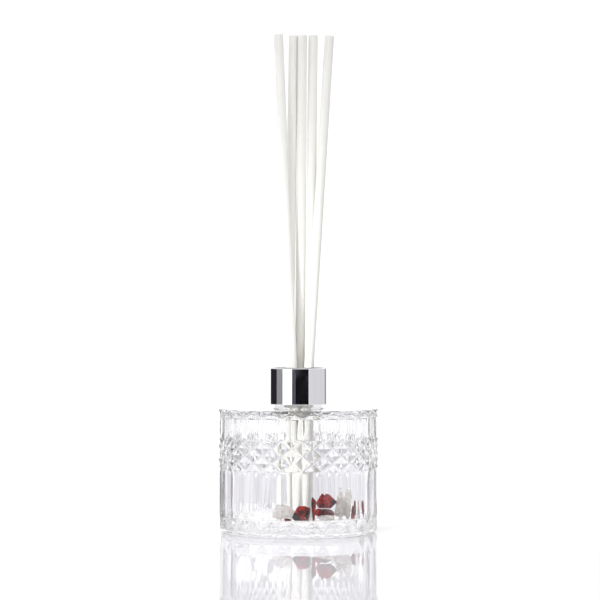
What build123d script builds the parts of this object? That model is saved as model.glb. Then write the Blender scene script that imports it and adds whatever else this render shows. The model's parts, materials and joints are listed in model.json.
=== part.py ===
"""Reed diffuser: a cut glass bottle with a screw collar, five fibre reeds and a few stone chips.

Millimetres, +Z up. The origin is the centre of the base, on the surface that the bottle stands on.
"""
import os
from math import cos, pi, radians, sin

from build123d import *

# Glass body
FLUTES = 24
PEAK_R = 41.5            # tips of the cut diamonds and of the rim
RIDGE_R = 41.0           # sharp edge between two flutes
GROOVE_R = 40.1          # bottom of the V grooves that outline the diamonds
RIM_NOTCH_R = 40.7       # rim between two of its tips
FOOT_R = 39.2
BODY_TOP = 63.8
RIM_BOTTOM = 59.8
BAND_TOP = 48.6
DIAMOND_ROW = 3.7
BAND_ROWS = 4
HEEL_TOP = 9.6
HEEL_BOTTOM = 2.6
CORNER_CHAMFER = 1.7     # how far a flute's end is cut back at its ridge
LEDGE = 0.35             # height of the step from a flute to the band

# Inside of the bottle
CAVITY_R = 36.5
FLOOR_Z = 8.1
CEILING_Z = 61.0
FLOOR_CORNER_R = 1.2
SHOULDER_CORNER_R = 1.5
MOUTH_CORNER_R = 1.8
PUNT_R = 30.0
PUNT_DEPTH = 1.2

# Neck and its thread
BORE_R = 10.0
NECK_R = 12.4
NECK_TOP = 82.3
NECK_ROOT_FILLET = 0.8
LIP_FILLET = 0.4
PITCH = 25.4 / 6
THREAD_H = 0.75
THREAD_START_Z = 71.6
NECK_TURNS = 1.5
COLLAR_TURNS = 1.25
COLLAR_THREAD_START = 90.0   # degrees after the neck thread's start
SINK = 0.15              # how far a thread ridge is rooted in its wall

# Collar
COLLAR_R = 14.65
COLLAR_BOTTOM = 66.0
COLLAR_TOP = 85.3
SHELL_WALL = 0.5
SHELL_MOUTH_R = 12.0
SHELL_EDGE_R = 0.35
LINER_WALL_IN_R = 13.45
LINER_MOUTH_R = 11.8
LINER_LIFT = 0.6         # liner's skirt ends this far above the shell's edge
SEAL_THICK = 1.2
SEAL_OUT_R = 13.1
SEAL_IN_R = 11.2

# Reeds: where each axis crosses the bottle's floor and the mouth's height
REED_R = 2.5
REED_LENGTH = 250.0
REED_CHAMFER = 0.15
REED_GAP = 0.1           # reed's lower edge above the floor
MOUTH_Z = 85.0
REED_LINES = {
    "reed_1": ((0.0, 0.0), (-3.3, -1.9)),
    "reed_2": ((-5.9, 5.5), (-4.9, 3.4)),
    "reed_3": ((0.6, 9.2), (1.0, 5.1)),
    "reed_4": ((5.0, 3.8), (5.8, 2.0)),
    "reed_5": ((0.4, -5.4), (5.2, -4.6)),
}

# Stone chips: length, width, height; turn about Z; seed of the uneven outline; centre x, y; height of rest
STONES = {
    "jasper_chip_1": ((9.6, 8.2, 7.8), 12, 1, (0.2, -29.1), FLOOR_Z),
    "jasper_chip_2": ((3.2, 3.6, 12.4), 20, 2, (6.1, -31.3), FLOOR_Z),
    "jasper_chip_3": ((12.4, 10.4, 7.6), 35, 3, (13.7, -22.0), 14.0),
    "jasper_chip_4": ((10.4, 8.6, 5.8), 10, 4, (12.0, -22.4), FLOOR_Z),
    "jasper_chip_5": ((2.2, 4.6, 6.9), 10, 5, (26.9, -18.3), FLOOR_Z),
    "jasper_chip_6": ((4.6, 2.2, 1.6), 24, 6, (-6.8, -30.7), FLOOR_Z),
    "jasper_chip_7": ((2.6, 5.0, 8.6), 35, 11, (31.3, -7.5), FLOOR_Z),
    "quartz_chip_1": ((14.0, 8.6, 8.0), -20, 7, (-7.9, -19.6), FLOOR_Z),
    "quartz_chip_2": ((9.6, 5.0, 3.2), 22, 8, (12.3, -30.4), FLOOR_Z),
    "quartz_chip_3": ((9.6, 9.0, 14.0), 40, 9, (22.5, -12.8), FLOOR_Z),
    "quartz_chip_4": ((7.6, 7.0, 15.2), -15, 10, (24.5, -3.0), FLOOR_Z),
}
STONE_SIDES = 7
STONE_RINGS = ((0.0, 0.66), (0.3, 0.97), (0.68, 1.0), (1.0, 0.54))   # height and reach, as parts of the whole
STONE_UNEVEN = 0.12


def around(column, radius, height):
    """A point on one of the body's half-flute columns; column 0 faces -Y."""
    angle = column * pi / FLUTES
    return (radius * sin(angle), -radius * cos(angle), height)


def flat_r(ridge_r):
    """Radius at the middle of a flat flute whose edges are at ridge_r."""
    return ridge_r * cos(pi / FLUTES)


def cut_rows():
    """Rows of the cut pattern from the base up: (ridge column's radius, height, mid column's radius, height)."""
    band_bottom = BAND_TOP - BAND_ROWS * DIAMOND_ROW
    flute = flat_r(RIDGE_R)
    rows = [
        (FOOT_R, 0, FOOT_R, 0),
        (GROOVE_R, HEEL_BOTTOM, PEAK_R, HEEL_BOTTOM),
        (RIDGE_R, HEEL_TOP, flute, HEEL_TOP),
        (RIDGE_R, band_bottom - CORNER_CHAMFER, flute, band_bottom - LEDGE),
    ]
    for row in range(BAND_ROWS + 1):
        height = band_bottom + row * DIAMOND_ROW
        grooves_on_ridge = row % 2 == 0
        ridge_r = GROOVE_R if grooves_on_ridge else PEAK_R
        mid_r = PEAK_R if grooves_on_ridge else GROOVE_R
        rows.append((ridge_r, height, mid_r, height))
    rows += [
        (RIDGE_R, BAND_TOP + CORNER_CHAMFER, flute, BAND_TOP + LEDGE),
        (RIDGE_R, RIM_BOTTOM - CORNER_CHAMFER / 2, flute, RIM_BOTTOM - LEDGE),
        (GROOVE_R, RIM_BOTTOM, PEAK_R, RIM_BOTTOM + LEDGE),
        (PEAK_R, BODY_TOP - LEDGE, RIM_NOTCH_R, BODY_TOP - LEDGE),
        (PEAK_R - LEDGE, BODY_TOP, RIM_NOTCH_R - LEDGE, BODY_TOP),
    ]
    return rows


def cell_faces(column, low, high):
    """Faces of one cell between two rows: one flat face, or two triangles that meet along the groove."""
    corners = []
    for row, step in ((low, 0), (low, 1), (high, 1), (high, 0)):
        on_ridge = (column + step) % 2 == 0
        radius, height = row[:2] if on_ridge else row[2:]
        corners.append((around(column + step, radius, height), radius))
    a, b, c, d = corners
    if abs(a[1] - d[1]) < 1e-6 and abs(b[1] - c[1]) < 1e-6:
        return [Face(Wire.make_polygon([p[0] for p in corners], close=True))]
    if a[1] + c[1] < b[1] + d[1]:
        triangles = ((a, b, c), (a, c, d))
    else:
        triangles = ((a, b, d), (b, c, d))
    return [Face(Wire.make_polygon([p[0] for p in t], close=True)) for t in triangles]


def cut_body():
    """The solid outside shape of the body, every facet flat."""
    rows = cut_rows()
    faces = []
    for low, high in zip(rows, rows[1:]):
        for column in range(2 * FLUTES):
            faces += cell_faces(column, low, high)
    for row in (rows[0], rows[-1]):
        ring = []
        for column in range(2 * FLUTES):
            radius, height = row[:2] if column % 2 == 0 else row[2:]
            ring.append(around(column, radius, height))
        faces.append(Face(Wire.make_polygon(ring, close=True)))
    return Solid(Shell(faces))


def turned(*points):
    """Revolve a closed outline of (radius, height) points about Z."""
    outline = Polyline(*[(r, 0, z) for r, z in points], close=True)
    return revolve(make_face(outline), Axis.Z)


def cavity():
    """The space inside the bottle, from the floor up through the bore."""
    outline = Polyline(
        (0, 0, FLOOR_Z),
        (CAVITY_R, 0, FLOOR_Z),
        (CAVITY_R, 0, CEILING_Z),
        (BORE_R, 0, CEILING_Z),
        (BORE_R, 0, NECK_TOP + 1),
        (0, 0, NECK_TOP + 1),
        close=True,
    )
    face = make_face(outline)
    for at, radius in (
        ((CAVITY_R, 0, FLOOR_Z), FLOOR_CORNER_R),
        ((CAVITY_R, 0, CEILING_Z), SHOULDER_CORNER_R),
        ((BORE_R, 0, CEILING_Z), MOUTH_CORNER_R),
    ):
        corner = face.vertices().sort_by_distance(Vector(*at))[0]
        face = fillet(corner, radius)
    return revolve(face, Axis.Z)


def thread_ridge(wall_r, outward, turns, start_z, start_angle):
    """A blunt-ended thread ridge that stands out of, or into, a round wall."""
    side = 1 if outward else -1
    root_half = 1.15 if outward else 0.85
    crest_half = 0.55 if outward else 0.4
    path = Helix(PITCH, PITCH * turns, wall_r)
    section = Polyline(
        (wall_r - side * SINK, 0, -root_half),
        (wall_r + side * THREAD_H, 0, -crest_half),
        (wall_r + side * THREAD_H, 0, crest_half),
        (wall_r - side * SINK, 0, root_half),
        close=True,
    )
    ridge = sweep(make_face(section), path=path, is_frenet=True)
    return Pos(0, 0, start_z) * Rot(0, 0, start_angle) * ridge


def glass_bottle():
    neck = Pos(0, 0, BODY_TOP - 2) * Cylinder(
        NECK_R, NECK_TOP - BODY_TOP + 2, align=(Align.CENTER, Align.CENTER, Align.MIN)
    )
    rim = neck.edges().group_by(Axis.Z)[-1]
    neck = fillet(rim, LIP_FILLET)
    root = turned(
        (NECK_R - 1, BODY_TOP - 1),
        (NECK_R + 2 * NECK_ROOT_FILLET, BODY_TOP - 1),
        (NECK_R + 2 * NECK_ROOT_FILLET, BODY_TOP),
        (NECK_R + NECK_ROOT_FILLET / 2, BODY_TOP + NECK_ROOT_FILLET / 2),
        (NECK_R, BODY_TOP + 2 * NECK_ROOT_FILLET),
        (NECK_R - 1, BODY_TOP + 2 * NECK_ROOT_FILLET),
    )
    thread = thread_ridge(NECK_R, True, NECK_TURNS, THREAD_START_Z, 0)
    punt = turned((0, -1), (PUNT_R + 1, -1), (PUNT_R, 0), (PUNT_R - 3, PUNT_DEPTH), (0, PUNT_DEPTH))
    return cut_body() + neck + root + thread - cavity() - punt


def collar_shell():
    """Polished metal tube with a flange turned in over the liner."""
    tube = turned(
        (COLLAR_R - SHELL_WALL, COLLAR_BOTTOM),
        (COLLAR_R, COLLAR_BOTTOM),
        (COLLAR_R, COLLAR_TOP),
        (SHELL_MOUTH_R, COLLAR_TOP),
        (SHELL_MOUTH_R, COLLAR_TOP - SHELL_WALL),
        (COLLAR_R - SHELL_WALL, COLLAR_TOP - SHELL_WALL),
    )
    top_edge = tube.edges().filter_by(GeomType.CIRCLE).group_by(Axis.Z)[-1].sort_by(SortBy.RADIUS)[-1]
    return fillet(top_edge, SHELL_EDGE_R)


def collar_liner():
    """Threaded plastic insert, pressed into the shell."""
    web_bottom = NECK_TOP + SEAL_THICK
    out_r = COLLAR_R - SHELL_WALL
    top = COLLAR_TOP - SHELL_WALL
    body = turned(
        (LINER_WALL_IN_R, COLLAR_BOTTOM + LINER_LIFT),
        (out_r, COLLAR_BOTTOM + LINER_LIFT),
        (out_r, top),
        (LINER_MOUTH_R, top),
        (LINER_MOUTH_R, web_bottom),
        (LINER_WALL_IN_R, web_bottom),
    )
    start_z = THREAD_START_Z - PITCH / 2 + PITCH * COLLAR_THREAD_START / 360
    return body + thread_ridge(LINER_WALL_IN_R, False, COLLAR_TURNS, start_z, COLLAR_THREAD_START)


def collar_seal():
    return turned(
        (SEAL_IN_R, NECK_TOP),
        (SEAL_OUT_R, NECK_TOP),
        (SEAL_OUT_R, NECK_TOP + SEAL_THICK),
        (SEAL_IN_R, NECK_TOP + SEAL_THICK),
    )


def reed(line):
    """A fibre rod on its line, its lower edge just above the floor."""
    (foot_x, foot_y), (mouth_x, mouth_y) = line
    direction = Vector(mouth_x - foot_x, mouth_y - foot_y, MOUTH_Z - FLOOR_Z).normalized()
    tilt_rise = REED_R * (1 - direction.Z**2) ** 0.5
    start = Vector(foot_x, foot_y, FLOOR_Z) + direction * (REED_GAP + tilt_rise)
    rod = Cylinder(REED_R, REED_LENGTH, align=(Align.CENTER, Align.CENTER, Align.MIN))
    rod = chamfer(rod.edges().filter_by(GeomType.CIRCLE), REED_CHAMFER)
    return Plane(origin=start, z_dir=direction) * rod


def stone(size, turn, seed, place, rest):
    """A broken chip: rings of uneven points joined by triangles, flat above and below."""
    length, width, height = size
    rings = []
    for level, (rise, reach) in enumerate(STONE_RINGS):
        ring = []
        for side in range(STONE_SIDES):
            angle = 2 * pi * (side + 0.5 * (level % 2)) / STONE_SIDES
            uneven = 1 - STONE_UNEVEN * (1 + sin(1.7 * seed * (side + 1) + 2.3 * level))
            spread = reach * uneven / 2
            ring.append((length * spread * cos(angle), width * spread * sin(angle), height * rise))
        rings.append(ring)
    faces = [Face(Wire.make_polygon(ring, close=True)) for ring in (rings[0], rings[-1])]
    for level, (low, high) in enumerate(zip(rings, rings[1:])):
        for side in range(STONE_SIDES):
            after = (side + 1) % STONE_SIDES
            if level % 2 == 0:
                triangles = ((low[side], low[after], high[side]), (low[after], high[after], high[side]))
            else:
                triangles = ((low[side], high[after], high[side]), (low[side], low[after], high[after]))
            faces += [Face(Wire.make_polygon(triangle, close=True)) for triangle in triangles]
    return Pos(*place, rest) * Rot(0, 0, turn) * Solid(Shell(faces))


def main():
    parts = {
        "glass_bottle": glass_bottle(),
        "collar_shell": collar_shell(),
        "collar_liner": collar_liner(),
        "collar_seal": collar_seal(),
        **{name: reed(line) for name, line in REED_LINES.items()},
        **{name: stone(*shape) for name, shape in STONES.items()},
    }
    os.makedirs("parts", exist_ok=True)
    for name, shape in parts.items():
        shape.label = name
        export_step(shape, f"parts/{name}.step")


main()
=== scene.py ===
"""Looks for the reed diffuser: cut glass bottle, chrome collar, fibre reeds and stone chips. Metres."""
import json
from math import cos, pi, radians, sin, sqrt, tan

import bmesh
import bpy
import numpy as np
from mathutils import Matrix, Vector, noise


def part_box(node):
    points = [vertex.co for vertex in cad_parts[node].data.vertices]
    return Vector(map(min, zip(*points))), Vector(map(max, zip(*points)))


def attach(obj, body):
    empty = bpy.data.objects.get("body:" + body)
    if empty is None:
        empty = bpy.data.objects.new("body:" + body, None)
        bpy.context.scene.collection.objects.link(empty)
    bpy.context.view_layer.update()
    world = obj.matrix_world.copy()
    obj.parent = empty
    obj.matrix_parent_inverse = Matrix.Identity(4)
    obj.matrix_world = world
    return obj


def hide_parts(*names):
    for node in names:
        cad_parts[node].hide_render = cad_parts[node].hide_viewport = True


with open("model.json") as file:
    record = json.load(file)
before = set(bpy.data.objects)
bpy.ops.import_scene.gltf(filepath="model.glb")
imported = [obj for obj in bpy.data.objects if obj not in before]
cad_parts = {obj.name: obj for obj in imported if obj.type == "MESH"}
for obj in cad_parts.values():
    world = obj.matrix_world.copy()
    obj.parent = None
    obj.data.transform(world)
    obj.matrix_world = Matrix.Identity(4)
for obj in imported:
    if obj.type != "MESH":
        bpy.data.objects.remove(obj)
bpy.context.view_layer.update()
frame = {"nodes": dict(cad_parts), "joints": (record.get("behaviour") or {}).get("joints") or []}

MM = 0.001
FLUTES = 24
HALF = 8                      # mesh columns in half a flute
COLUMNS = FLUTES * 2 * HALF
SHARP = 28                    # degrees between two faces from which their edge is left unsmoothed

# Glass body, from the frame's own sizes
bottle_low, bottle_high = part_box("glass_bottle")
collar_low, collar_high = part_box("collar_shell")
PEAK_R = bottle_high.x
NECK_TOP = bottle_high.z
RIDGE_R = PEAK_R - 0.5 * MM
GROOVE_R = PEAK_R - 1.4 * MM
HEEL_GROOVE_R = PEAK_R - 1.3 * MM
RIM_GROOVE_R = PEAK_R - 1.3 * MM
FOOT_R = PEAK_R - 2.3 * MM
BODY_TOP = collar_low.z - 2.2 * MM
RIM_BOTTOM = BODY_TOP - 4.0 * MM
BAND_TOP = BODY_TOP - 15.2 * MM
DIAMOND_ROW = 3.7 * MM
BAND_ROWS = 4
BAND_BOTTOM = BAND_TOP - BAND_ROWS * DIAMOND_ROW
HEEL_BOTTOM = 2.6 * MM
HEEL_TOP = 9.6 * MM
CHAMFER = 1.7 * MM
LEDGE = 0.35 * MM
FLUTE_HOLLOW = 0.12 * MM      # how far a flute's middle is ground in
TOP_EDGE = 0.5 * MM           # height of the rounding between the rim and the shoulder
PUNT_R = 30 * MM
PUNT_DEPTH = 1.2 * MM
STAR_HEIGHT = 0.45 * MM       # rays under the base
STUD_HEIGHT = 0.3 * MM        # small pyramids between them
WALL_RIPPLE = 0.07 * MM

CAVITY_R = PEAK_R - 5 * MM
FLOOR_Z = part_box("quartz_chip_1")[0].z
CEILING_Z = BODY_TOP - 2.8 * MM
FLOOR_CORNER = 1.2 * MM
SHOULDER_CORNER = 1.5 * MM
MOUTH_CORNER = 1.8 * MM
BORE_R = 10 * MM
NECK_R = 12.4 * MM
NECK_ROOT = 1.6 * MM
LIP_ROUND = 0.4 * MM
PITCH = 25.4 / 6 * MM
THREAD_H = 0.75 * MM
THREAD_FOOT = 1.15 * MM       # half the ridge's height where it leaves the neck
THREAD_FLANK = 0.6 * MM       # from there to its crest
THREAD_START_Z = 71.6 * MM
THREAD_TURNS = 1.5
THREAD_FADE = 12              # the ridge runs out over one part in this many of a turn

REED_RADIUS = 2.5 * MM
REED_SIDES = 40
REED_STEP = 4 * MM

COLLAR_WALL = 0.5 * MM
COLLAR_MOUTH = 12.0 * MM
COLLAR_ROLL = 0.55 * MM       # rounding of the top edge
COLLAR_HEM = 0.2 * MM         # rounding of the other edges

# Stones: a unit ball is cut back to planes at these distances from its middle
STONE_BOTTOM = 0.7
STONE_TOP = 0.66
STONE_TOP_TILT = (0.15, 0.1, 1)
STONE_SIDE_CUTS = (0.5, 0.78)


# ---------------------------------------------------------------- mesh helpers

def ring(radius, height):
    """One closed row of points round the axis; radius and height are numbers or one value per column."""
    angle = np.arange(COLUMNS) * 2 * pi / COLUMNS
    radius = np.broadcast_to(radius, COLUMNS)
    height = np.broadcast_to(height, COLUMNS)
    return np.stack([radius * np.sin(angle), -radius * np.cos(angle), height], axis=1)


def skin(name, rings, closed_ends=True):
    """A smooth mesh over rows of points, each end drawn in to a point on the axis."""
    count = len(rings[0])
    points = np.concatenate(rings)
    faces = []
    for row in range(len(rings) - 1):
        a = row * count
        b = a + count
        for c in range(count):
            d = (c + 1) % count
            faces.append((a + c, a + d, b + d, b + c))
    if closed_ends:
        first, last = len(points), len(points) + 1
        points = np.concatenate([points, [rings[0].mean(0), rings[-1].mean(0)]])
        top = (len(rings) - 1) * count
        for c in range(count):
            d = (c + 1) % count
            faces.append((first, d, c))
            faces.append((last, top + c, top + d))
    mesh = bpy.data.meshes.new(name)
    mesh.from_pydata(points.tolist(), [], faces)
    mesh.validate()
    mesh.shade_smooth()
    mesh.set_sharp_from_angle(angle=radians(SHARP))
    piece = bpy.data.objects.new(name, mesh)
    bpy.context.scene.collection.objects.link(piece)
    return piece


def arc(center, radius, start, end, steps):
    """(radius, height) points along an arc; angles in degrees."""
    angles = np.radians(np.linspace(start, end, steps))
    return [(center[0] + radius * cos(t), center[1] + radius * sin(t)) for t in angles]


def flute_place():
    """For each column, 0 on a ridge between two flutes to 1 on a flute's middle."""
    across = (np.arange(COLUMNS) / (2 * HALF)) % 1
    return 1 - np.abs(1 - 2 * across)


# ---------------------------------------------------------------- glass bottle

PLACE = flute_place()


def flute_radius():
    """A nearly flat flute, a little hollow, between two sharp ridges."""
    half = pi / FLUTES
    flat = RIDGE_R * cos(half) / np.cos((1 - PLACE) * half)
    return flat - FLUTE_HOLLOW * (1 - (1 - PLACE) ** 2)


def zigzag_rows(bottom, top, low_r, high_r):
    """A row of triangles, point down on the ridges and point up between them, outlined by V grooves."""
    rows = []
    for step in np.linspace(0, 1, HALF + 1):
        lift = np.abs(step - PLACE)
        rows.append((low_r + (high_r - low_r) * lift, np.full(COLUMNS, bottom + (top - bottom) * step)))
    return rows


def diamond_rows():
    """The cut band: pyramids with their points on the ridges and, half a row on, between them."""
    rows = []
    for step in range(BAND_ROWS * HALF + 1):
        along = step / HALF
        lift = np.abs(1 - PLACE - np.abs(along % 2 - 1))
        radius = GROOVE_R + (PEAK_R - GROOVE_R) * lift
        rows.append((radius, np.full(COLUMNS, BAND_BOTTOM + along * DIAMOND_ROW)))
    return rows


def run_out(edge, direction, corner=CHAMFER):
    """Where a band ends in the flutes: a low ledge, cut back further at each ridge."""
    radius, height = edge
    reach = LEDGE + (corner - LEDGE) * (1 - PLACE)
    rows = []
    for step in (0.3, 0.65, 1.0):
        blended = radius + (flute_radius() - radius) * step
        rows.append((blended, height + direction * reach * step))
    return rows


def outside_rows():
    heel = zigzag_rows(HEEL_BOTTOM, HEEL_TOP, HEEL_GROOVE_R, RIDGE_R)
    band = diamond_rows()
    rim = zigzag_rows(RIM_BOTTOM, BODY_TOP - TOP_EDGE, RIM_GROOVE_R, PEAK_R)
    rows = []
    for radius_part, height in ((0.0, 0.0), (0.35, 0.35), (0.75, 1.1)):
        radius = FOOT_R + (heel[0][0] - FOOT_R) * radius_part
        rows.append((radius, np.full(COLUMNS, height * MM)))
    rows += heel
    below = run_out(band[0], -1)
    above = run_out(band[-1], 1)
    under_rim = run_out(rim[0], -1, LEDGE)
    heel_radius, heel_height = heel[-1]
    for step in (0.04, 0.12, 0.37, 0.63, 0.88):
        height = heel_height + (below[-1][1] - heel_height) * step
        rows.append((heel_radius + (flute_radius() - heel_radius) * min(1, step * 12), height))
    rows += below[::-1]
    rows += band
    rows += above
    for step in (0.33, 0.67):
        rows.append((flute_radius(), above[-1][1] + (under_rim[-1][1] - above[-1][1]) * step))
    rows += under_rim[::-1]
    rows += rim
    top_edge = rim[-1][0]
    for inward, height in ((0.12, 0.28), (0.45, 0.5), (1.3, 0.5)):
        radius = top_edge - inward * MM
        rows.append((radius, np.full(COLUMNS, BODY_TOP - TOP_EDGE + height * MM)))
    return rows


def underside_rows():
    """The shallow hollow under the base: a star of rays crossed by rings of small pyramids."""
    rows = []
    for step, radius in enumerate(np.linspace(2 * MM, PUNT_R - 3 * MM, 27)):
        fade = sin(pi * (radius / PUNT_R)) ** 0.5
        star = STAR_HEIGHT * fade * (1 - PLACE)
        stud = STUD_HEIGHT * fade * (step % 2) * np.abs(1 - 2 * PLACE)
        rows.append((np.full(COLUMNS, radius), PUNT_DEPTH + star + stud))
    rows.append((np.full(COLUMNS, PUNT_R - 1.5 * MM), np.full(COLUMNS, 0.45 * PUNT_DEPTH)))
    rows.append((np.full(COLUMNS, PUNT_R), np.zeros(COLUMNS)))
    return rows


def neck_rows():
    """Shoulder, neck with its screw thread, and lip."""
    points = [(radius * MM, BODY_TOP) for radius in (38, 34, 28, 22, 17)]
    points += arc((NECK_R + NECK_ROOT, BODY_TOP + NECK_ROOT), NECK_ROOT, 270, 180, 6)
    rows = [(np.full(COLUMNS, r), np.full(COLUMNS, z)) for r, z in points]
    turn = np.arange(COLUMNS) / COLUMNS + 0.25      # the thread starts on +X
    start = BODY_TOP + 3 * MM
    for height in np.arange(start, NECK_TOP - 1.2 * MM, 0.28 * MM):
        radius = np.full(COLUMNS, NECK_R)
        for wrap in range(-1, 3):
            turns = (turn % 1) + wrap - 0.5
            center = THREAD_START_Z + turns * PITCH
            near = np.clip((THREAD_FOOT - np.abs(height - center)) / THREAD_FLANK, 0, 1)
            fade = np.clip(turns * THREAD_FADE, 0, 1)
            fade = fade * np.clip((THREAD_TURNS - turns) * THREAD_FADE, 0, 1)
            radius = np.maximum(radius, NECK_R + THREAD_H * near * fade)
        rows.append((radius, np.full(COLUMNS, height)))
    lip = arc((NECK_R - LIP_ROUND, NECK_TOP - LIP_ROUND), LIP_ROUND, 0, 90, 5)
    lip += arc((BORE_R + LIP_ROUND, NECK_TOP - LIP_ROUND), LIP_ROUND, 90, 180, 5)
    rows += [(np.full(COLUMNS, r), np.full(COLUMNS, z)) for r, z in lip]
    return rows


def ripple(height, amount):
    """The slight waviness of a moulded inside wall."""
    angle = np.arange(COLUMNS) * 2 * pi / COLUMNS
    wave = np.sin(3 * angle + 90 * height) + 0.6 * np.sin(7 * angle - 210 * height + 1)
    wave += 0.35 * np.sin(24 * angle + 2)
    return amount * wave


def inside_rows():
    """The cavity's wall from the shoulder down, and its floor in to the middle."""
    points = arc((CAVITY_R - SHOULDER_CORNER, CEILING_Z - SHOULDER_CORNER), SHOULDER_CORNER, 90, 0, 8)
    wall = np.linspace(CEILING_Z - SHOULDER_CORNER, FLOOR_Z + FLOOR_CORNER, 18)
    points += [(CAVITY_R, height) for height in wall[1:]]
    points += arc((CAVITY_R - FLOOR_CORNER, FLOOR_Z + FLOOR_CORNER), FLOOR_CORNER, 0, -90, 7)[1:]
    points += [(r * MM, FLOOR_Z) for r in (32, 27, 22, 17, 12, 7, 3)]
    rows = []
    for radius, height in points:
        share = np.clip((radius - 20 * MM) / (15 * MM), 0, 1)
        rows.append((radius - np.abs(ripple(height, WALL_RIPPLE)) * share, np.full(COLUMNS, height)))
    return rows


def glass_bottle():
    rows = underside_rows() + outside_rows() + neck_rows()
    for height in np.linspace(NECK_TOP - 3 * MM, CEILING_Z + MOUTH_CORNER, 6):
        rows.append((np.full(COLUMNS, BORE_R), np.full(COLUMNS, height)))
    mouth = arc((BORE_R + MOUTH_CORNER, CEILING_Z + MOUTH_CORNER), MOUTH_CORNER, 180, 270, 6)[1:]
    mouth += [(r * MM, CEILING_Z) for r in (15, 20, 25)]
    rows += [(np.full(COLUMNS, r), np.full(COLUMNS, z)) for r, z in mouth]
    rows += inside_rows()
    return skin("bottle_glass", [ring(r, z) for r, z in rows])


# ---------------------------------------------------------------- materials

def material(name):
    made = bpy.data.materials.new(name)
    made.use_nodes = True
    return made, made.node_tree.nodes, made.node_tree.links


def textured(nodes, links, scale, detail, stretch=(1, 1, 1), roughness=0.5):
    """A noise texture on the piece's own coordinates."""
    where = nodes.new("ShaderNodeTexCoord")
    mapping = nodes.new("ShaderNodeMapping")
    mapping.inputs["Scale"].default_value = stretch
    grain = nodes.new("ShaderNodeTexNoise")
    grain.inputs["Scale"].default_value = scale
    grain.inputs["Detail"].default_value = detail
    grain.inputs["Roughness"].default_value = roughness
    links.new(where.outputs["Object"], mapping.inputs["Vector"])
    links.new(mapping.outputs["Vector"], grain.inputs["Vector"])
    return grain


def ramp(nodes, links, source, stops, interpolation="LINEAR"):
    """Colours from a texture's output; stops are (position, colour)."""
    made = nodes.new("ShaderNodeValToRGB")
    made.color_ramp.interpolation = interpolation
    elements = made.color_ramp.elements
    while len(elements) < len(stops):
        elements.new(0.5)
    for element, (position, colour) in zip(elements, stops):
        element.position = position
        element.color = (*colour, 1)
    links.new(source, made.inputs["Fac"])
    return made.outputs["Color"]


def bump(nodes, links, texture, strength, distance, shader):
    made = nodes.new("ShaderNodeBump")
    made.inputs["Strength"].default_value = strength
    made.inputs["Distance"].default_value = distance
    links.new(texture.outputs["Fac"], made.inputs["Height"])
    links.new(made.outputs["Normal"], shader.inputs["Normal"])


def grey(level):
    return (level, level, level)


def glass_material():
    made, nodes, links = material("clear_pressed_glass")
    shader = nodes["Principled BSDF"]
    shader.inputs["Base Color"].default_value = (0.996, 0.997, 0.998, 1)
    shader.inputs["Transmission Weight"].default_value = 1
    shader.inputs["IOR"].default_value = 1.5
    shader.inputs["Roughness"].default_value = 0
    bump(nodes, links, textured(nodes, links, 120, 2), 0.03, 0.0003, shader)
    return made


def chrome_material():
    made, nodes, links = material("polished_chrome_collar")
    shader = nodes["Principled BSDF"]
    shader.inputs["Metallic"].default_value = 1
    brushing = textured(nodes, links, 900, 3, (1, 1, 0.05))
    tone = ramp(nodes, links, brushing.outputs["Fac"], ((0.3, (0.80, 0.80, 0.82)), (0.7, (0.86, 0.86, 0.87))))
    links.new(tone, shader.inputs["Base Color"])
    smears = textured(nodes, links, 260, 4)
    dullness = ramp(nodes, links, smears.outputs["Fac"], ((0.35, grey(0.025)), (0.75, grey(0.06))))
    links.new(dullness, shader.inputs["Roughness"])
    return made


def plastic_material(name, colour, rough, bump_scale):
    made, nodes, links = material(name)
    shader = nodes["Principled BSDF"]
    grain = textured(nodes, links, bump_scale, 3)
    darker = tuple(0.93 * c for c in colour)
    tone = ramp(nodes, links, grain.outputs["Fac"], ((0.3, darker), (0.7, colour)))
    links.new(tone, shader.inputs["Base Color"])
    shader.inputs["Roughness"].default_value = rough
    bump(nodes, links, grain, 0.25, 0.0002, shader)
    return made


def fibre_material():
    """Spun fibre: fine lengthwise strands and a faint fuzz, almost white."""
    made, nodes, links = material("spun_fibre")
    shader = nodes["Principled BSDF"]
    strands = textured(nodes, links, 1600, 4, (1, 1, 0.02), 0.55)
    tone = ramp(nodes, links, strands.outputs["Fac"], (
        (0.25, (0.84, 0.835, 0.80)), (0.7, (0.91, 0.905, 0.87))))
    links.new(tone, shader.inputs["Base Color"])
    shader.inputs["Roughness"].default_value = 0.85
    shader.inputs["Specular IOR Level"].default_value = 0.25
    shader.inputs["Sheen Weight"].default_value = 0.1
    bump(nodes, links, strands, 0.3, 0.00008, shader)
    return made


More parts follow.
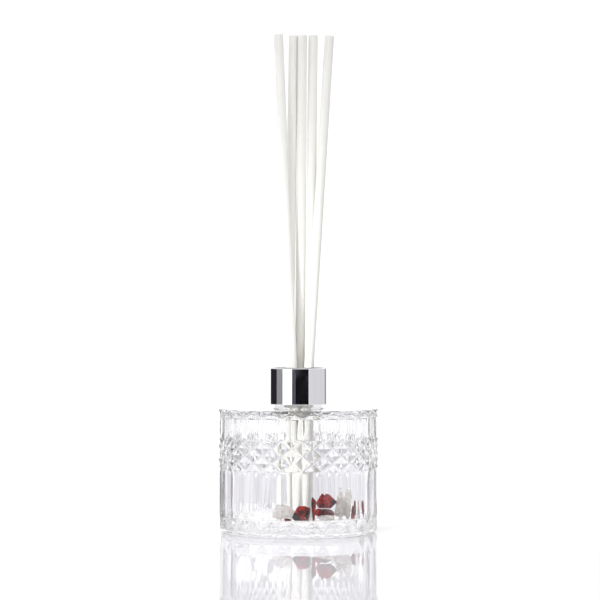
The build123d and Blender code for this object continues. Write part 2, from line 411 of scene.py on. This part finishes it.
def jasper_material():
    """Deep red stone, polished, with brighter bands that are partly real veining and partly painted highlight
    streaks; angular cells, some nearly black, are painted shade for facets turned from the light.
    """
    made, nodes, links = material("red_jasper")
    shader = nodes["Principled BSDF"]
    # real veining and painted highlight: the noise is stretched upright and its narrow brightest red band is
    # painted highlight streaks
    veins_and_painted_streaks = textured(nodes, links, 420, 6, (1, 1, 0.45), 0.65)
    veins_and_painted_streaks.inputs["Distortion"].default_value = 1.2
    red = ramp(nodes, links, veins_and_painted_streaks.outputs["Fac"], (
        (0.36, (0.02, 0.0005, 0.0005)), (0.46, (0.12, 0.001, 0.001)), (0.56, (0.34, 0.004, 0.003)),
        (0.66, (0.62, 0.03, 0.02)), (0.74, (0.18, 0.001, 0.001))))
    # painted shade: about two cells in five are multiplied down near black to stand in for facets turned from
    # the light
    where = nodes.new("ShaderNodeTexCoord")
    cells = nodes.new("ShaderNodeTexVoronoi")
    cells.inputs["Scale"].default_value = 260
    links.new(where.outputs["Object"], cells.inputs["Vector"])
    shade = ramp(nodes, links, cells.outputs["Color"], ((0.0, grey(0.05)), (0.42, grey(1.0))), "CONSTANT")
    painted_facet_shade = nodes.new("ShaderNodeMixRGB")
    painted_facet_shade.blend_type = "MULTIPLY"
    painted_facet_shade.inputs["Fac"].default_value = 1
    links.new(red, painted_facet_shade.inputs["Color1"])
    links.new(shade, painted_facet_shade.inputs["Color2"])
    links.new(painted_facet_shade.outputs["Color"], shader.inputs["Base Color"])
    shader.inputs["Roughness"].default_value = 0.14
    shader.inputs["Specular IOR Level"].default_value = 0.12
    bump(nodes, links, veins_and_painted_streaks, 0.35, 0.0005, shader)
    return made


def quartz_material():
    """Cloudy quartz: part clear, part milky, with a few rusty specks."""
    made, nodes, links = material("milky_quartz")
    shader = nodes["Principled BSDF"]
    cloud = textured(nodes, links, 170, 5, (1, 1, 1), 0.65)
    tone = ramp(nodes, links, cloud.outputs["Fac"], (
        (0.28, (0.40, 0.16, 0.12)), (0.36, (0.74, 0.64, 0.60)), (0.46, (0.95, 0.91, 0.88)),
        (0.56, (1.0, 0.985, 0.97))))
    links.new(tone, shader.inputs["Base Color"])
    clear = ramp(nodes, links, cloud.outputs["Fac"], ((0.35, grey(0.15)), (0.62, grey(0.75))))
    links.new(clear, shader.inputs["Transmission Weight"])
    shader.inputs["IOR"].default_value = 1.54
    shader.inputs["Roughness"].default_value = 0.16
    bump(nodes, links, cloud, 0.4, 0.0006, shader)
    return made


# ---------------------------------------------------------------- reeds, collar, stones

def finish_piece(piece, look, body, slot, *nodes):
    """Give a piece its material, and let it ride in place of its CAD nodes."""
    piece.data.materials.clear()
    piece.data.materials.append(look)
    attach(piece, body)
    if nodes:
        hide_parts(*nodes)


def reed_mesh(name, length, radius, seed):
    """A fibre rod, its skin faintly ribbed lengthwise, its cut ends a little rough and dished."""
    angle = np.arange(REED_SIDES) * 2 * pi / REED_SIDES
    ribs = np.array([noise.noise(Vector((2.2 * cos(t), 2.2 * sin(t), seed * 7.3))) for t in angle])
    rows = []
    for part, shrink in ((0.25, 0), (0.62, 0), (0.88, 0), (0.965, 0), (1.0, 0.12)):
        rows.append((part, -length / 2 + shrink * MM * 2))
    steps = int(length / REED_STEP)
    rows += [(1.0, -length / 2 + length * k / steps) for k in range(1, steps)]
    rows += [(part, -height) for part, height in rows[4::-1]]
    rings = []
    for part, height in rows:
        swell = noise.noise(Vector((seed * 3.1, 0, height * 40)))
        wide = radius * part * (0.992 + 0.008 * swell + 0.012 * ribs * (part > 0.9))
        grain = 0
        if part < 0.97:
            grain = 0.06 * MM * ribs * np.sign(-height)
        level = np.broadcast_to(height + grain, REED_SIDES)
        rings.append(np.stack([wide * np.cos(angle), wide * np.sin(angle), level], axis=1))
    return skin(name, rings)


def reed(index, look):
    name = f"reed_{index}"
    joint = next(j for j in frame["joints"] if j["child"] == name)
    direction = Vector(joint["axis"]).normalized()
    low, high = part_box(name)
    spread = 2 * REED_RADIUS * sqrt(1 - direction.z**2)
    length = (high.z - low.z - spread) / direction.z
    piece = reed_mesh(f"fibre_{name}", length, REED_RADIUS, index)
    turn = Vector((0, 0, 1)).rotation_difference(direction).to_matrix().to_4x4()
    piece.matrix_world = Matrix.Translation((low + high) / 2) @ turn
    finish_piece(piece, look, name, "reed_fibre", name)


def collar(look):
    """Polished tube with a rolled top edge, a turned-in flange and a hemmed lower edge."""
    low, high = collar_low.z, collar_high.z
    out = collar_high.x
    inner = out - COLLAR_WALL
    outline = arc((out - COLLAR_HEM, low + COLLAR_HEM), COLLAR_HEM, -90, 0, 5)
    outline += [(out, low + part * (high - low)) for part in (0.02, 0.25, 0.5, 0.75, 0.96)]
    outline += arc((out - COLLAR_ROLL, high - COLLAR_ROLL), COLLAR_ROLL, 0, 90, 8)
    outline += [(out - 1.5 * MM, high), (COLLAR_MOUTH + 0.6 * MM, high)]
    outline += arc((COLLAR_MOUTH + COLLAR_HEM, high - COLLAR_HEM), COLLAR_HEM, 90, 180, 5)
    outline += [(COLLAR_MOUTH, high - COLLAR_WALL), (inner, high - COLLAR_WALL)]
    outline += [(inner, low + COLLAR_HEM), (inner, low)]
    rings = [ring(r, z) for r, z in outline]
    rings.append(rings[0])
    piece = skin("collar_polished", rings, closed_ends=False)
    weld(piece)
    finish_piece(piece, look, "collar", "polished_chrome", "collar_shell")


def weld(piece):
    """Join points that lie on each other."""
    work = bmesh.new()
    work.from_mesh(piece.data)
    bmesh.ops.remove_doubles(work, verts=work.verts, dist=1e-7)
    bmesh.ops.recalc_face_normals(work, faces=work.faces)
    work.to_mesh(piece.data)
    work.free()


def stone(node, look, slot, seed, planes, rough):
    """A broken chip: a ball cut back by flat planes, its faces a little uneven, in its CAD chip's box."""
    low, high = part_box(node)
    work = bmesh.new()
    bmesh.ops.create_icosphere(work, subdivisions=5, radius=1)
    draw = np.random.default_rng(seed)
    cuts = [(Vector((0, 0, -1)), STONE_BOTTOM), (Vector(STONE_TOP_TILT).normalized(), STONE_TOP)]
    for _ in range(planes):
        cuts.append((Vector(draw.normal(size=3)).normalized(), draw.uniform(*STONE_SIDE_CUTS)))
    for v in work.verts:
        out = v.co.normalized()
        reach = 1.0
        for normal, depth in cuts:
            facing = out.dot(normal)
            if facing * reach > depth:
                reach = depth / facing
        uneven = noise.fractal(out * 2.6 + Vector((seed, 0, 0)), 0.8, 2.1, 5)
        v.co = out * reach * (1 + rough * uneven)
    least = Vector([min(v.co[k] for v in work.verts) for k in range(3)])
    most = Vector([max(v.co[k] for v in work.verts) for k in range(3)])
    for v in work.verts:
        v.co = Vector([
            low[k] + (v.co[k] - least[k]) / (most[k] - least[k]) * (high[k] - low[k]) for k in range(3)])
    mesh = bpy.data.meshes.new(f"stone_{node}")
    work.to_mesh(mesh)
    work.free()
    mesh.shade_smooth()
    mesh.set_sharp_from_angle(angle=radians(SHARP))
    piece = bpy.data.objects.new(f"stone_{node}", mesh)
    bpy.context.scene.collection.objects.link(piece)
    finish_piece(piece, look, "bottle", slot, node)


# ---------------------------------------------------------------- studio

AZIMUTH = -2.8                # the photo's viewing direction, degrees
CAMERA_RANGE = 1.04
CAMERA_HEIGHT = 0.1047
FRAME_WIDTH = 0.3126          # width of the picture at the bottle's axis
AIM = Vector((0.0008, 0, 0.1203))


def toward(azimuth, distance, height=0.0):
    """A point at an azimuth: 0 is -Y, and positive turns to +X, as seen from the front to the right."""
    angle = radians(azimuth)
    return Vector((distance * sin(angle), -distance * cos(angle), height))


def camera():
    data = bpy.data.cameras.new("photo_camera")
    data.sensor_width = 36
    data.lens = 36 * CAMERA_RANGE / FRAME_WIDTH
    data.clip_end = 50
    maker = bpy.data.objects.new("photo_camera", data)
    maker.location = toward(AZIMUTH, CAMERA_RANGE, CAMERA_HEIGHT)
    maker.rotation_euler = (AIM - maker.location).to_track_quat("-Z", "Y").to_euler()
    bpy.context.scene.collection.objects.link(maker)
    bpy.context.scene.camera = maker


FLOOR = -0.1 * MM             # just clear of the foot
LILAC = (0.96, 0.945, 1.0)
CARD_TOP = 0.6

# What the chrome and the outside of the glass see round the object: name, azimuth, spread, level, colour
METAL_FANS = (
    ("flag_front", 15.5, 54, 0.008, (0.8, 0.7, 1.0)),
    ("flag_front_edge", -19, 15, 0.13, (0.72, 0.75, 1.0)),
    ("flag_back_left", -129, 58, 0.025, (1.0, 0.8, 1.0)),
    ("card_left", -84, 32, 0.34, (0.95, 0.95, 1.0)),
    ("card_right", 90.5, 91, 0.80, (0.97, 0.97, 1.0)),
    ("card_back_right", 147.5, 23, 0.42, (1.0, 0.82, 0.72)),
    ("softbox_left", -47, 41, 1.6, (1, 1, 1)),
)
# Upright strips behind the object, seen through the glass: azimuth from straight behind, spread, level
BACK_STRIPS = ((-37, 7, 0.62), (-22, 4, 0.8), (-9, 2.5, 0.72), (12, 3, 0.8), (24, 6, 0.7), (41, 6, 0.62))
# Strips on the floor behind the object, seen through the glass: sideways place, half width, level
FLOOR_STRIPS = (
    (-0.037, 0.004, 0.62), (-0.025, 0.0025, 0.72), (-0.012, 0.003, 0.70), (0.004, 0.002, 0.74),
    (0.017, 0.003, 0.68), (0.029, 0.003, 0.70), (0.040, 0.004, 0.62),
)


def floor():
    """A plain pale polished sheet that runs on past the picture."""
    mesh = bpy.data.meshes.new("floor")
    side = 12
    corners = [(-side, -side, FLOOR), (side, -side, FLOOR), (side, side, FLOOR), (-side, side, FLOOR)]
    mesh.from_pydata(corners, [], [(0, 1, 2, 3)])
    piece = bpy.data.objects.new("floor", mesh)
    bpy.context.scene.collection.objects.link(piece)
    made, nodes, links = material("white_acrylic")
    shader = nodes["Principled BSDF"]
    shader.inputs["Base Color"].default_value = (0.80, 0.79, 0.83, 1)
    shader.inputs["IOR"].default_value = 1.9
    shader.inputs["Roughness"].default_value = 0.02
    mesh.materials.append(made)


def glowing(name, corners, level, colour, seen_in, one_sided=False):
    """A flat light or flag that only the metal, only the glass or only the dull things see."""
    mesh = bpy.data.meshes.new(name)
    mesh.from_pydata([tuple(c) for c in corners], [], [tuple(range(len(corners)))])
    piece = bpy.data.objects.new(name, mesh)
    bpy.context.scene.collection.objects.link(piece)
    made, nodes, links = material(name)
    nodes.remove(nodes["Principled BSDF"])
    glow = nodes.new("ShaderNodeEmission")
    glow.inputs["Color"].default_value = (*colour, 1)
    glow.inputs["Strength"].default_value = level
    shown = glow.outputs["Emission"]
    if one_sided:
        side = nodes.new("ShaderNodeNewGeometry")
        clear = nodes.new("ShaderNodeBsdfTransparent")
        choice = nodes.new("ShaderNodeMixShader")
        links.new(side.outputs["Backfacing"], choice.inputs["Fac"])
        links.new(shown, choice.inputs[1])
        links.new(clear.outputs["BSDF"], choice.inputs[2])
        shown = choice.outputs["Shader"]
    links.new(shown, nodes["Material Output"].inputs["Surface"])
    mesh.materials.append(made)
    piece.visible_camera = False
    piece.visible_diffuse = seen_in == "cloth"
    piece.visible_shadow = seen_in == "cloth"
    piece.visible_glossy = seen_in == "metal"
    piece.visible_transmission = seen_in == "glass"


def card(name, azimuth, spread, distance, low, high, level, seen_in, colour):
    """An upright card that faces the object."""
    half = distance * tan(radians(spread / 2))
    middle = toward(AZIMUTH + azimuth, distance)
    side = toward(AZIMUTH + azimuth + 90, half)
    corners = [middle - side + Vector((0, 0, low)), middle + side + Vector((0, 0, low)),
               middle + side + Vector((0, 0, high)), middle - side + Vector((0, 0, high))]
    glowing(name, corners, level, colour, seen_in)


def fan(name, azimuth, spread, level, colour):
    """A fan of the floor round the object that the metal sees from above; from below it is clear."""
    near, far = 0.05, 8.0
    turns = np.linspace(azimuth - spread / 2, azimuth + spread / 2, 9)
    corners = [toward(AZIMUTH + turn, near, FLOOR / 2) for turn in turns[::-1]]
    corners += [toward(AZIMUTH + turn, far, FLOOR / 2) for turn in turns]
    glowing(name, corners, level, colour, "metal", one_sided=True)


def ceiling(name, height, half, level, colour):
    """A level card overhead that the metal sees."""
    corners = [(-half, -half, height), (half, -half, height), (half, half, height), (-half, half, height)]
    glowing(name, corners, level, colour, "metal")


def sheet(name, near, far, half, level, middle=0.0, colour=LILAC, lift=0.5):
    """A sheet on the floor, from near to far behind the object's axis, seen through the glass."""
    up = Vector((0, 0, FLOOR * lift)) + toward(AZIMUTH + 90, middle)
    side = toward(AZIMUTH + 90, half)
    corners = [toward(AZIMUTH + 180, near) - side + up, toward(AZIMUTH + 180, near) + side + up,
               toward(AZIMUTH + 180, far) + side + up, toward(AZIMUTH + 180, far) - side + up]
    glowing(name, corners, level, colour, "glass")


def lamp(name, azimuth, height, distance, size, spread, watts):
    """A soft light on the bottle alone, itself seen in nothing."""
    data = bpy.data.lights.new(name, "SPOT")
    data.spot_size = radians(spread)
    data.spot_blend = 0.5
    data.shadow_soft_size = size
    data.energy = watts
    piece = bpy.data.objects.new(name, data)
    piece.location = toward(AZIMUTH + azimuth, distance, height)
    piece.rotation_euler = (Vector((0, 0, 0.025)) - piece.location).to_track_quat("-Z", "Y").to_euler()
    bpy.context.scene.collection.objects.link(piece)
    piece.visible_camera = False
    piece.visible_glossy = False
    piece.visible_transmission = False


def studio():
    world = bpy.data.worlds.new("white_room")
    bpy.context.scene.world = world
    world.use_nodes = True
    world.node_tree.nodes["Background"].inputs["Color"].default_value = (1, 1, 1, 1)
    world.node_tree.nodes["Background"].inputs["Strength"].default_value = 1.17
    floor()
    lamp("key_left", azimuth=-40, height=0.6, distance=1.3, size=0.15, spread=7, watts=200)
    for fan_facts in METAL_FANS:
        fan(*fan_facts)
    ceiling("ceiling_dark", height=0.62, half=1.0, level=0.06, colour=(1.0, 0.75, 0.6))
    card("shade_right", 118, 96, 0.7, -0.01, 1.2, 0.42, "cloth", (1.0, 1.0, 0.97))
    card("sky_back", 180, 110, 1.0, 0.15, 0.7, 0.56, "glass", LILAC)
    for number, (azimuth, spread, level) in enumerate(BACK_STRIPS, 1):
        card(f"strip_{number}", 180 + azimuth, spread, 0.9, 0.0, CARD_TOP, level, "glass", LILAC)
    sheet("floor_near", 0.045, 0.085, 0.25, 0.86)
    sheet("floor_far", 0.165, 0.60, 0.25, 0.88)
    for number, (middle, half, level) in enumerate(FLOOR_STRIPS, 1):
        sheet(f"floor_strip_{number}", 0.10, 0.60, half, level, middle, lift=0.25)
    sheet("under_base", -0.045, 0.045, 0.045, 1.02, colour=(1, 1, 1))
    card("flag_side_left", -112, 14, 1.0, 0.0, 0.5, 0.08, "glass", LILAC)


def main():
    scene = bpy.context.scene
    scene.view_settings.view_transform = "Standard"
    scene.cycles.max_bounces = 32
    scene.cycles.transmission_bounces = 28
    scene.cycles.glossy_bounces = 12
    bottle = glass_bottle()
    finish_piece(bottle, glass_material(), "bottle", "clear_glass", "glass_bottle")
    bottle.visible_shadow = False
    collar(chrome_material())
    for node, look in (
        ("collar_liner", plastic_material("liner_plastic", (0.93, 0.93, 0.93), 0.4, 700)),
        ("collar_seal", plastic_material("seal_foam", (0.9, 0.9, 0.88), 0.8, 2200)),
    ):
        surface = frame["nodes"][node].data
        surface.materials.clear()
        surface.materials.append(look)
    fibre = fibre_material()
    for index in range(1, 6):
        reed(index, fibre)
    jasper = jasper_material()
    for index in range(1, 8):
        stone(f"jasper_chip_{index}", jasper, "red_jasper", 10 + index, 12, 0.02)
    quartz = quartz_material()
    for index in range(1, 5):
        stone(f"quartz_chip_{index}", quartz, "milky_quartz", 30 + index, 18, 0.06)
    camera()
    studio()


main()
